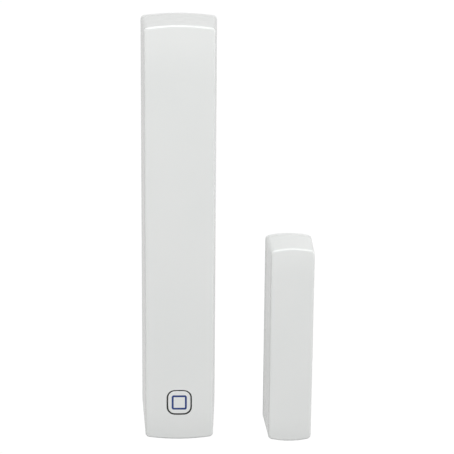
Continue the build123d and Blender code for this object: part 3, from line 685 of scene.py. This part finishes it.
chip_black = finish(
    "chip_black",
    PLASTIC,
    {
        "Colour": (0.014, 0.014, 0.016, 1.0),
        "Flow Colour": (0.02, 0.02, 0.022, 1.0),
        "Roughness": 0.5,
        "Grain": 1.4,
        "Grain Scale": 9000.0,
        "Specks": 0.15,
    },
    0.00001,
)
capacitor_tan = finish(
    "capacitor_tan",
    PLASTIC,
    {
        "Colour": (0.22, 0.14, 0.07, 1.0),
        "Flow Colour": (0.26, 0.165, 0.085, 1.0),
        "Roughness": 0.42,
        "Grain": 1.2,
        "Grain Scale": 12000.0,
    },
    0.00001,
)
resistor_black = finish(
    "resistor_black",
    PLASTIC,
    {
        "Colour": (0.01, 0.01, 0.011, 1.0),
        "Flow Colour": (0.014, 0.014, 0.016, 1.0),
        "Roughness": 0.25,
        "Peel": 1.0,
    },
    0.00001,
)
dress(chip_black, "microcontroller")
dress(capacitor_tan, "chip_capacitors")
dress(resistor_black, "chip_resistors")

end_caps = bmesh.new()
for node in ("chip_capacitors", "chip_resistors"):
    for low, high in solids_of(node):
        cap = CAP_SHARE * (high.x - low.x)
        grow = Vector((CAP_RISE, CAP_RISE, CAP_RISE))
        left_low, right_high = low - grow, high + grow
        right_high.y = high.y
        left_high = Vector((low.x + cap, right_high.y, right_high.z))
        right_low = Vector((high.x - cap, left_low.y, left_low.z))
        soft_block(end_caps, left_low, left_high, CAP_EDGE)
        soft_block(end_caps, right_low, right_high, CAP_EDGE)
settle("passive_end_caps", end_caps, lead_tin, "sensor_unit")

board_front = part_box("circuit_board")[0].y


def solder_cone(form, x, z, radius, rise):
    """A concave heap of solder round a lead, on the board's front."""
    points = []
    for step in range(JOINT_STEPS + 1):
        share = step / JOINT_STEPS
        reach = radius * (1 - JOINT_TAPER * share)
        points.append((x + reach, board_front - rise * share**JOINT_HOLLOW, z))
    sunk = board_front + JOINT_SINK
    points += [(x + JOINT_CORE, board_front - rise, z), (x + JOINT_CORE, sunk, z)]
    points += [(x + radius, sunk, z)]
    turn(form, points, (x, board_front, z), (0, 1, 0), 20)


solder = bmesh.new()
for node, radius in (("reed_switch_blades", REED_JOINT), ("antenna_wire", ANTENNA_JOINT)):
    low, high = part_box(node)
    lead_x = (low.x + high.x) / 2
    inset = (high.x - low.x) / 2 if node == "antenna_wire" else LEAD_R
    for lead_z in (low.z + inset, high.z - inset):
        solder_cone(solder, lead_x, lead_z, radius, LEAD_JOINT_RISE)
for low, high in solids_of("contact_plates"):
    tab_x, tab_z = (low.x + high.x) / 2, (low.z + high.z) / 2
    solder_cone(solder, tab_x, tab_z, TAB_JOINT, TAB_JOINT_RISE)
foot = Vector((FOOT_LIP, 0.0, FOOT_LIP))
for low, high in solids_of("microcontroller_leads"):
    toe_low = Vector((low.x, board_front - FOOT_FRONT, low.z)) - foot
    toe_high = Vector((high.x, board_front - FOOT_BACK, high.z)) + foot
    soft_block(solder, toe_low, toe_high, FOOT_EDGE)
settle("solder_joints", solder, lead_tin, "sensor_unit")

# ---------------------------------------------------------------- switch, light and reed switch
# The switch body and plunger are black nylon. The status light is a clear resin block on a white
# frame, and the reed switch's blades are sealed in a greenish glass tube.
switch_black = finish(
    "switch_black",
    PLASTIC,
    {
        "Colour": (0.016, 0.016, 0.017, 1.0),
        "Flow Colour": (0.022, 0.022, 0.023, 1.0),
        "Roughness": 0.38,
        "Peel": 0.4,
        "Grain": 0.8,
    },
    0.000012,
)
led_clear = finish(
    "led_clear",
    PLASTIC,
    {
        "Colour": (0.62, 0.60, 0.42, 1.0),
        "Flow Colour": (0.70, 0.68, 0.52, 1.0),
        "Roughness": 0.12,
        "Peel": 0.4,
        "Grain": 0.1,
    },
    0.000006,
    {"IOR": 1.53, "Coat Weight": 0.6},
)
reed_glass = finish(
    "reed_glass",
    PLASTIC,
    {
        "Colour": (0.62, 0.86, 0.70, 1.0),
        "Flow Colour": (0.66, 0.88, 0.74, 1.0),
        "Roughness": 0.04,
        "Haze": 0.03,
        "Peel": 0.6,
        "Grain": 0.0,
    },
    0.000004,
    {"IOR": 1.5, "Transmission Weight": 1.0},
)
dress(switch_black, "button_switch_body", "button_switch_plunger")
dress(led_clear, "status_led")
dress(reed_glass, "reed_switch_glass")

# ---------------------------------------------------------------- bar magnet
# A sintered ferrite bar, ground on its faces and tumbled, so it is dark grey with fine grinding
# lines, worn lighter at the edges, and lightly pitted.
bar_ferrite = finish(
    "bar_ferrite",
    METAL,
    {
        "Colour": (0.055, 0.056, 0.06, 1.0),
        "Tarnish": (0.10, 0.10, 0.105, 1.0),
        "Roughness": 0.42,
        "Haze": 0.2,
        "Lines": 0.8,
        "Dents": 1.4,
    },
    0.00002,
    {"Metallic": 0.35},
)
dress(bar_ferrite, "bar_magnet")

# ---------------------------------------------------------------- stage, light and camera
# A plain pale floor in a white room. Both look paper white, but light the part less than they show,
# and the floor is pale in the gloss of its flanks. Two soft boxes above the front light the faces and
# their upper edges, one from the right lights the right flanks, and one from overhead lights the ends.
FLOOR_DROP = 0.06
FLOOR_SIZE = 12.0
FLOOR_GREY = (0.27, 0.27, 0.27, 1.0)
PAPER_WHITE = (1.0, 1.0, 1.0, 1.0)
SHOWN, MIRRORED, ROOM_LIGHT = 1.02, 0.85, 0.64
floor_form = bmesh.new()
bmesh.ops.create_grid(floor_form, x_segments=1, y_segments=1, size=FLOOR_SIZE / 2)
bmesh.ops.translate(floor_form, verts=floor_form.verts, vec=(0, 0, cad_box[0].z - FLOOR_DROP))
floor = bpy.data.objects.new("studio_floor", bpy.data.meshes.new("studio_floor"))
floor_form.to_mesh(floor.data)
floor_form.free()
bpy.context.scene.collection.objects.link(floor)

floor_pale = bpy.data.materials.new("floor_pale")
floor_pale.use_nodes = True
floor_tree = floor_pale.node_tree
floor_shader = floor_tree.nodes["Principled BSDF"]
floor_shader.inputs["Base Color"].default_value = FLOOR_GREY
floor_shader.inputs["Roughness"].default_value = 0.9
floor_ray = put(floor_tree, "LightPath")
floor_level = put(
    floor_tree,
    "MapRange",
    {"Value": floor_ray.outputs["Is Camera Ray"], "To Min": MIRRORED, "To Max": SHOWN},
)
floor_glow = put(
    floor_tree, "Emission", {"Color": PAPER_WHITE, "Strength": floor_level.outputs[0]}
)
floor_mirrored = put(
    floor_tree,
    "Math",
    {0: floor_ray.outputs["Is Camera Ray"], 1: floor_ray.outputs["Is Glossy Ray"]},
    operation="MAXIMUM",
)
floor_seen = put(
    floor_tree,
    "MixShader",
    {0: floor_mirrored.outputs[0], 1: floor_shader.outputs[0], 2: floor_glow.outputs[0]},
)
floor_tree.links.new(floor_seen.outputs[0], floor_tree.nodes["Material Output"].inputs["Surface"])
floor.data.materials.append(floor_pale)

world = bpy.data.worlds.new("white_room")
world.use_nodes = True
room = world.node_tree.nodes["Background"]
room.inputs["Color"].default_value = PAPER_WHITE
room_ray = put(world.node_tree, "LightPath")
room_seen = put(
    world.node_tree,
    "MapRange",
    {"Value": room_ray.outputs["Is Camera Ray"], "To Min": ROOM_LIGHT, "To Max": SHOWN},
)
world.node_tree.links.new(room_seen.outputs[0], room.inputs["Strength"])
bpy.context.scene.world = world
bpy.context.scene.view_settings.view_transform = "Standard"


def soft_box(name, place, aim, size, power):
    """A rectangular area light that faces a point."""
    lamp = bpy.data.lights.new(name, "AREA")
    lamp.shape = "RECTANGLE"
    lamp.size, lamp.size_y = size
    lamp.energy = power
    holder = bpy.data.objects.new(name, lamp)
    bpy.context.scene.collection.objects.link(holder)
    holder.location = place
    holder.rotation_mode = "QUATERNION"
    holder.rotation_quaternion = (Vector(aim) - Vector(place)).to_track_quat("-Z", "Y")


soft_box("overhead_box", (0.05, -0.35, 0.85), (0.0, -0.02, 0.0), (0.7, 0.5), 0.88)
soft_box("front_box", (-0.05, -0.35, 0.42), (0.0, -0.02, -0.02), (0.5, 0.25), 0.62)
soft_box("front_low_box", (-0.02, -0.42, 0.28), (0.0, -0.02, 0.03), (0.3, 0.2), 0.73)
soft_box("right_box", (0.7, -0.2, 0.12), (0.0, 0.0, 0.0), (0.3, 0.6), 1.38)

CAMERA_AT = Vector((-0.0029, -0.378, 0.0922))
PITCH, YAW, ROLL = radians(14.16), radians(2.30), radians(-0.51)
FOCAL_LENGTH, FILM_WIDTH = 121.74, 36.0
ahead = Vector((sin(YAW) * cos(PITCH), cos(YAW) * cos(PITCH), -sin(PITCH)))
level_right = Vector((cos(YAW), -sin(YAW), 0.0))
level_up = level_right.cross(ahead)
right = cos(ROLL) * level_right - sin(ROLL) * level_up
up = sin(ROLL) * level_right + cos(ROLL) * level_up
lens = bpy.data.cameras.new("camera")
lens.sensor_width = FILM_WIDTH
lens.lens = FOCAL_LENGTH
lens.clip_start, lens.clip_end = 0.01, 50.0
camera = bpy.data.objects.new("camera", lens)
bpy.context.scene.collection.objects.link(camera)
facing = Matrix((right, up, -ahead)).transposed().to_4x4()
camera.matrix_world = Matrix.Translation(CAMERA_AT) @ facing
bpy.context.scene.camera = camera
